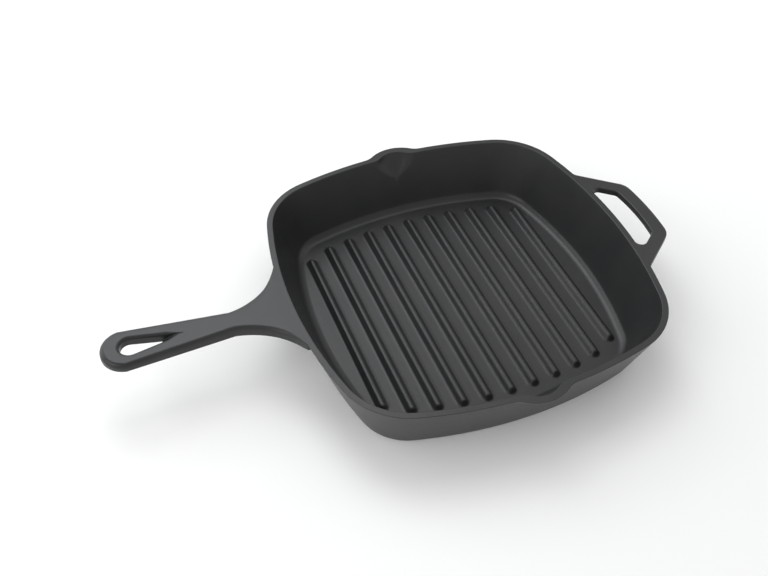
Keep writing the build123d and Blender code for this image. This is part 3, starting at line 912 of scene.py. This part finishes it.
    def side_depth(self):
        """Depth at which the side ends and the lower round edge starts, at each free station."""
        lower = self.ring(0.0, self.top_radius)[0][: len(self.points)]
        depth = self.depth_below(lower) - self.sizes.bottom_radius
        return np.maximum(depth, self.LEAST_SIDE * self.top_radius)

    def eye_grid(self):
        """Wall of the eye: round upper edge, upright wall, then the ramp or the lower lip."""
        s = self.sizes
        rows = []
        for back, down in quarter_round(EDGE_POINTS)[::-1]:
            plan = self.eye + (self.eye_edge * back)[:, None] * self.eye_inward
            rows.append(self.raised(plan, self.eye_edge * down))
        spare = np.where(self.through, self.LOWER_WALL * self.eye_depth, 0)
        corner = self.raised(self.eye, self.eye_depth - spare)
        lip_depth = self.depth_below(self.lip) - s.eye_lip_radius
        rows += list(lerp(rows[-1], corner, np.linspace(0, 1, self.WALL_ROWS)[1:]))
        parts = np.linspace(0, 1, self.LIP_ROWS)[1:]
        plan = lerp(self.eye, self.lip, parts)
        on_wall = lerp(self.eye_depth - spare, lip_depth, parts)
        rows += list(self.raised(plan, np.where(self.through, on_wall, self.ramp_depth(plan[..., 0]))))
        for back, down in quarter_round(self.LIP_POINTS)[1:-1]:
            plan = lerp(self.lip, self.under_lip, back)[0]
            rows.append(self.raised(plan, lip_depth + s.eye_lip_radius * (1 - down)))
        rows.append(self.raised(self.under_lip, self.depth_below(self.under_lip)))
        return np.stack(rows)

    def under_grid(self):
        """Underside, from the lower edge of the side over the round edge to the eye's lip."""
        radius = self.sizes.bottom_radius
        side = self.side_depth()
        turns = quarter_round(EDGE_POINTS)
        rings = [self.ring(radius * back, side + radius * (1 - down)) for back, down in turns]
        rows = [self.raised(plan, depth) for plan, depth in rings]
        edge, depth = rings[-1]
        inner = np.concatenate([self.under_lip, self.middle_line(self.under_lip[-1, 0], edge[-1, 0])])
        gap = depth - self.depth_below(edge)
        for part in np.linspace(0, 1, self.UNDER_ROWS)[1:]:
            plan = self.outline.between(edge, inner, part, self.bowed)[0]
            left_over = gap * (1 - smooth_step(part / self.SETTLING))
            rows.append(self.raised(plan, self.depth_below(plan) + left_over))
        return np.stack(rows)

    def grids(self):
        """The grids of both halves."""
        grids = (self.top_grid(), self.eye_grid(), self.under_grid())
        return with_mirror([(grid, False, False) for grid in grids])


class HelperHandle:
    """Half of the helper handle, for y >= 0, as rings round its metal from the bar's middle to the rim."""

    # Steps along the bar, the corner arc, the leg and the root arc
    BAR, CORNER, LEG, ROOT = 16, 16, 18, 14
    # Rows across the top and across the underside
    TOP_ROWS, UNDER_ROWS = 7, 9

    def __init__(self, body, sizes):
        self.body, self.sizes = body, sizes
        self.outline = RimOutline(body)
        self.slope = np.tan(body.wall_draft)
        spread = sizes.leg_spread / sizes.reach
        self.along = np.array([-1, spread]) / np.hypot(1, spread)
        self.across = np.array([spread, 1]) / np.hypot(1, spread)
        bar_x = body.rim_half_width + sizes.reach
        self.outer = self.side(bar_x, sizes.bar_half_length, sizes.corner_radius, sizes.root_radius, True)
        self.slot = self.side(
            bar_x - sizes.bar_width, sizes.bar_half_length - sizes.leg_width / 2,
            sizes.slot_corner_radius, sizes.slot_root_radius, False,
        )
        to_rim = len(self.outer[0]) - 1 - np.arange(len(self.outer[0]))
        self.sink = smooth_step(1 - to_rim / self.ROOT)
        near_wall = smooth_step(1 - to_rim / self.ROOT / 2)
        self.upper = sizes.edge_radius + (body.rim_easing - sizes.edge_radius) * near_wall

    def side(self, bar_x, half_length, corner_radius, root_radius, is_outer):
        """Bowed bar, corner arc, leg and root arc, of the outer edge or of the slot."""
        bow = self.sizes.bow
        bow_radius = (half_length**2 + bow**2) / (2 * bow)
        bow_centre = np.array([bar_x - bow_radius, 0])
        wall_centre = np.array([-self.outline.side_centre, 0])
        corner = np.array([bar_x - bow, half_length])
        off_leg = self.across if is_outer else -self.across
        corner_centre = circle_entry(
            corner - corner_radius * self.across, self.along, bow_centre, bow_radius - corner_radius
        )
        root_centre = circle_entry(
            corner + root_radius * off_leg, self.along, wall_centre,
            self.outline.side_radius + root_radius - TUCK,
        )
        leg_start = corner_centre + corner_radius * self.across
        leg_end = root_centre - root_radius * off_leg
        bar_turn = angle_of(corner_centre, bow_centre)
        rim_turn = angle_of(wall_centre, root_centre) + (0 if is_outer else 2 * np.pi)
        return joined(
            arc_points(bow_centre, bow_radius, 0, bar_turn, self.BAR + 1, is_outer),
            arc_points(
                corner_centre, corner_radius, bar_turn, angle_of(leg_start, corner_centre),
                self.CORNER + 1, is_outer,
            ),
            line_points(leg_start, leg_end, self.LEG + 1, -off_leg),
            arc_points(
                root_centre, root_radius, angle_of(leg_end, root_centre), rim_turn, self.ROOT + 1, False
            ),
        )

    def row(self, edge, offset, depth):
        """Points along one edge at an offset into the metal and a depth, sunk back to the wall at the rim."""
        plan = self.outline.sunk(*edge, offset, self.sink * depth * self.slope)
        height = np.broadcast_to(self.body.height + SHEET_LIFT - depth, len(plan))
        return np.column_stack([plan, height])

    def flat(self, start, stop, rows, offset):
        """Rows between two edges, which take on the bow of the wall as they near it."""
        parts = np.linspace(0, 1, rows)[1:-1]
        return list(self.outline.between(start, stop, parts, self.sink, offset))

    def points(self):
        """Rings round the metal, with the last ones shrunk into the wall."""
        s, height = self.sizes, self.body.height
        turns = quarter_round(EDGE_POINTS)
        under = s.thickness + s.root_hollow * (1 - np.sin(self.body.wall_draft)) * self.sink
        side = under - s.edge_radius

        def upper(edge):
            return [self.row(edge, self.upper * back, self.upper * down) for back, down in turns]

        def lower(edge):
            return [
                self.row(edge, s.edge_radius * back, side + s.edge_radius * (1 - down))
                for back, down in turns[::-1]
            ]

        def wall(edge):
            return [self.row(edge, 0.0, lerp(self.upper, side, part)[0]) for part in (1 / 3, 2 / 3)]

        top_out, top_in = upper(self.outer), upper(self.slot)[::-1]
        low_in, low_out = lower(self.slot)[::-1], lower(self.outer)
        rows = top_out + self.flat(top_out[-1], top_in[0], self.TOP_ROWS, self.body.rim_easing)
        rows += top_in + wall(self.slot)
        rows += low_in + self.flat(low_in[-1], low_out[0], self.UNDER_ROWS, s.edge_radius)
        rows += low_out + wall(self.outer)[::-1]
        ring = np.stack(rows, axis=1)
        buried = ring[-1] - [BURIED_SHARE * self.body.rim_width, 0, 0]
        sheet = lerp(ring[-1], buried, [SHEET_REACH * (1 - HOLD), SHEET_REACH])
        buried[:, 2] = np.clip(buried[:, 2], height - under[-1], height - s.edge_radius)
        middle = np.broadcast_to(buried.mean(axis=0), buried.shape)
        return np.concatenate([ring, sheet, buried[None], middle[None]])

    def grids(self):
        """The rings of both halves."""
        return with_mirror([(self.points(), False, True)])


def map_range(tree, value, ends):
    """Node that carries a value from the range of the first two ends to that of the last two."""
    node = tree.nodes.new("ShaderNodeMapRange")
    for socket, number in zip(("From Min", "From Max", "To Min", "To Max"), ends):
        node.inputs[socket].default_value = number
    tree.links.new(value, node.inputs["Value"])
    return node


def iron_material(finish):
    """Pre-seasoned cast iron: near-black, matt, with sand-cast grain and soft patches."""
    name = "seasoned_cast_iron"
    if name in bpy.data.materials:
        return bpy.data.materials[name]
    material = bpy.data.materials.new(name)
    material.use_nodes = True
    nodes, links = material.node_tree.nodes, material.node_tree.links
    shader = nodes["Principled BSDF"]
    shader.inputs["Specular IOR Level"].default_value = finish.shine
    coordinates = nodes.new("ShaderNodeTexCoord").outputs["Object"]

    def noise(size, detail):
        node = nodes.new("ShaderNodeTexNoise")
        node.inputs["Scale"].default_value = 1 / size
        node.inputs["Detail"].default_value = detail
        links.new(coordinates, node.inputs["Vector"])
        return node.outputs["Fac"]

    patches = noise(finish.patch_size, PATCH_DETAIL)
    pale = map_range(material.node_tree, patches, (*PATCH_STRETCH, 0.0, 1.0))
    mix = nodes.new("ShaderNodeMix")
    mix.data_type = "RGBA"
    mix.inputs["A"].default_value = (*finish.iron_colour, 1)
    mix.inputs["B"].default_value = (*finish.pale_colour, 1)
    links.new(pale.outputs["Result"], mix.inputs["Factor"])
    links.new(mix.outputs["Result"], shader.inputs["Base Color"])

    grain = noise(finish.grain_size, GRAIN_DETAIL)
    spread = finish.roughness_range / 2
    ends = (*GRAIN_STRETCH, finish.roughness - spread, finish.roughness + spread)
    rough = map_range(material.node_tree, grain, ends)
    links.new(rough.outputs["Result"], shader.inputs["Roughness"])
    bump = nodes.new("ShaderNodeBump")
    bump.inputs["Strength"].default_value = 1.0
    bump.inputs["Distance"].default_value = finish.grain_height
    links.new(grain, bump.inputs["Height"])
    links.new(bump.outputs["Normal"], shader.inputs["Normal"])
    return material


class GRILLPAN_OT_pan_wall(bpy.types.Operator):
    """Build the wall with its rim, cove, base edge and both pour spouts"""

    bl_idname = "grill_pan.pan_wall"
    bl_label = "Pan Wall"

    def execute(self, context):
        scene = context.scene
        points = pan_wall_points(scene.pan_body_sizes, scene.spout_sizes)
        nodes = ["side_wall", "pour_spout_far", "pour_spout_near"]
        mesh_piece("pan_wall", [(points, True, True)], nodes)
        return {"FINISHED"}


class GRILLPAN_OT_ribbed_floor(bpy.types.Operator):
    """Build the floor with its grill ribs"""

    bl_idname = "grill_pan.ribbed_floor"
    bl_label = "Ribbed Floor"

    def execute(self, context):
        scene = context.scene
        grids = ribbed_floor_grids(scene.pan_body_sizes, scene.grill_rib_sizes)
        mesh_piece("ribbed_floor", grids, ["floor_plate", *RIB_NODES])
        return {"FINISHED"}


class GRILLPAN_OT_long_handle(bpy.types.Operator):
    """Build the long handle with its hanging eye"""

    bl_idname = "grill_pan.long_handle"
    bl_label = "Long Handle"

    def execute(self, context):
        scene = context.scene
        handle = LongHandle(scene.pan_body_sizes, scene.long_handle_sizes)
        mesh_piece("long_handle_casting", handle.grids(), ["long_handle"])
        return {"FINISHED"}


class GRILLPAN_OT_helper_handle(bpy.types.Operator):
    """Build the looped helper handle"""

    bl_idname = "grill_pan.helper_handle"
    bl_label = "Helper Handle"

    def execute(self, context):
        scene = context.scene
        handle = HelperHandle(scene.pan_body_sizes, scene.helper_handle_sizes)
        mesh_piece("helper_handle_casting", handle.grids(), ["helper_handle"])
        return {"FINISHED"}


class GRILLPAN_OT_stage(bpy.types.Operator):
    """Set up the pale floor, the soft studio light and the camera"""

    bl_idname = "grill_pan.stage"
    bl_label = "Stage"

    def execute(self, context):
        studio = context.scene.studio_settings
        make_floor(studio)
        make_room(studio)
        for side in ("rear", "top", "left", "far_left", "right"):
            centre, size, watts = (getattr(studio, f"{side}_{part}") for part in ("place", "size", "power"))
            tint = studio.rear_colour if side == "rear" else studio.lamp_colour
            make_soft_box(f"{side}_soft_box", centre, size, watts, tint)
        make_camera(studio)
        context.scene.view_settings.view_transform = "Standard"
        return {"FINISHED"}


def seen_by_eye(nodes, links):
    """1 for camera, glossy and transmission rays, else 0."""
    path = nodes.new("ShaderNodeLightPath")
    value = path.outputs["Is Camera Ray"]
    for other in ("Is Glossy Ray", "Is Transmission Ray"):
        node = nodes.new("ShaderNodeMath")
        node.operation = "MAXIMUM"
        links.new(value, node.inputs[0])
        links.new(path.outputs[other], node.inputs[1])
        value = node.outputs[0]
    return value


def make_floor(studio):
    """Pale floor that keeps the pan's shadow and reads as white to the camera."""
    half = studio.floor_size
    mesh = bpy.data.meshes.new("studio_floor")
    corners = [(-half, -half, 0), (half, -half, 0), (half, half, 0), (-half, half, 0)]
    mesh.from_pydata(corners, [], [(0, 1, 2, 3)])
    floor = bpy.data.objects.new("studio_floor", mesh)
    bpy.context.scene.collection.objects.link(floor)
    material = bpy.data.materials.new("pale_floor")
    material.use_nodes = True
    nodes, links = material.node_tree.nodes, material.node_tree.links
    shader = nodes["Principled BSDF"]
    shader.inputs["Base Color"].default_value = (*studio.floor_colour, 1)
    shader.inputs["Roughness"].default_value = 1.0
    shader.inputs["Specular IOR Level"].default_value = 0.0
    shader.inputs["Emission Color"].default_value = (1, 1, 1, 1)
    distance = nodes.new("ShaderNodeVectorMath")
    distance.operation = "LENGTH"
    links.new(nodes.new("ShaderNodeTexCoord").outputs["Object"], distance.inputs[0])
    ends = (*FLOOR_FADE, studio.floor_glow, studio.far_glow)
    fade = map_range(material.node_tree, distance.outputs["Value"], ends)
    glow = nodes.new("ShaderNodeMath")
    glow.operation = "MULTIPLY"
    links.new(seen_by_eye(nodes, links), glow.inputs[0])
    links.new(fade.outputs["Result"], glow.inputs[1])
    links.new(glow.outputs[0], shader.inputs["Emission Strength"])
    mesh.materials.append(material)


def make_room(studio):
    """Room round the pan: white low down, dimmer from a low angle upwards."""
    world = bpy.data.worlds.new("studio_room")
    bpy.context.scene.world = world
    world.use_nodes = True
    nodes, links = world.node_tree.nodes, world.node_tree.links
    background = nodes["Background"]
    background.inputs["Color"].default_value = (1, 1, 1, 1)
    height = nodes.new("ShaderNodeSeparateXYZ")
    links.new(nodes.new("ShaderNodeTexCoord").outputs["Generated"], height.inputs[0])
    ends = (*ROOM_FADE, studio.horizon_strength, studio.room_strength)
    fade = map_range(world.node_tree, height.outputs["Z"], ends)
    fade.interpolation_type = "SMOOTHSTEP"
    links.new(fade.outputs["Result"], background.inputs["Strength"])


def make_soft_box(name, centre, size, watts, tint):
    """Soft box that is turned towards the middle of the pan."""
    light = bpy.data.lights.new(name, "AREA")
    light.shape = "RECTANGLE"
    light.size, light.size_y = size
    light.energy = watts
    light.color = tint
    lamp = bpy.data.objects.new(name, light)
    lamp.location = centre
    lamp.rotation_euler = (-centre).to_track_quat("-Z", "Y").to_euler()
    bpy.context.scene.collection.objects.link(lamp)


def make_camera(studio):
    """Camera at the photograph's place and angle."""
    camera = bpy.data.objects.new("camera", bpy.data.cameras.new("camera"))
    camera.data.sensor_width = SENSOR_WIDTH
    camera.data.lens = studio.focal_length
    camera.data.clip_start, camera.data.clip_end = CLIP_START, CLIP_END
    forward = studio.forward.normalized()
    right = (studio.right - forward * studio.right.dot(forward)).normalized()
    up = right.cross(forward)
    turn = Matrix((right, up, -forward)).transposed()
    camera.matrix_world = Matrix.Translation(studio.eye) @ turn.to_4x4()
    bpy.context.scene.collection.objects.link(camera)
    bpy.context.scene.camera = camera


OPERATORS = (
    GRILLPAN_OT_pan_wall,
    GRILLPAN_OT_ribbed_floor,
    GRILLPAN_OT_long_handle,
    GRILLPAN_OT_helper_handle,
    GRILLPAN_OT_stage,
)


class GRILLPAN_PT_panel(bpy.types.Panel):
    """Lists the pieces of the grill pan"""

    bl_idname = "GRILLPAN_PT_panel"
    bl_label = "Grill Pan"
    bl_space_type = "VIEW_3D"
    bl_region_type = "UI"
    bl_category = "Grill Pan"

    def draw(self, context):
        for operator in OPERATORS:
            self.layout.operator(operator.bl_idname)
        for name, group in SETTINGS.items():
            box = self.layout.box()
            box.label(text=group.__doc__)
            for key in group.__annotations__:
                box.prop(getattr(context.scene, name), key)


def register():
    """Register the settings, the operators and the panel."""
    for name, group in SETTINGS.items():
        bpy.utils.register_class(group)
        setattr(bpy.types.Scene, name, PointerProperty(type=group))
    for item in (*OPERATORS, GRILLPAN_PT_panel):
        bpy.utils.register_class(item)


def unregister():
    """Remove the panel, the operators and the settings."""
    for item in (GRILLPAN_PT_panel, *reversed(OPERATORS)):
        bpy.utils.unregister_class(item)
    for name, group in reversed(SETTINGS.items()):
        delattr(bpy.types.Scene, name)
        bpy.utils.unregister_class(group)


def main():
    register()
    for operator in OPERATORS:
        group, name = operator.bl_idname.split(".")
        getattr(getattr(bpy.ops, group), name)()


if __name__ == "__main__":
    main()
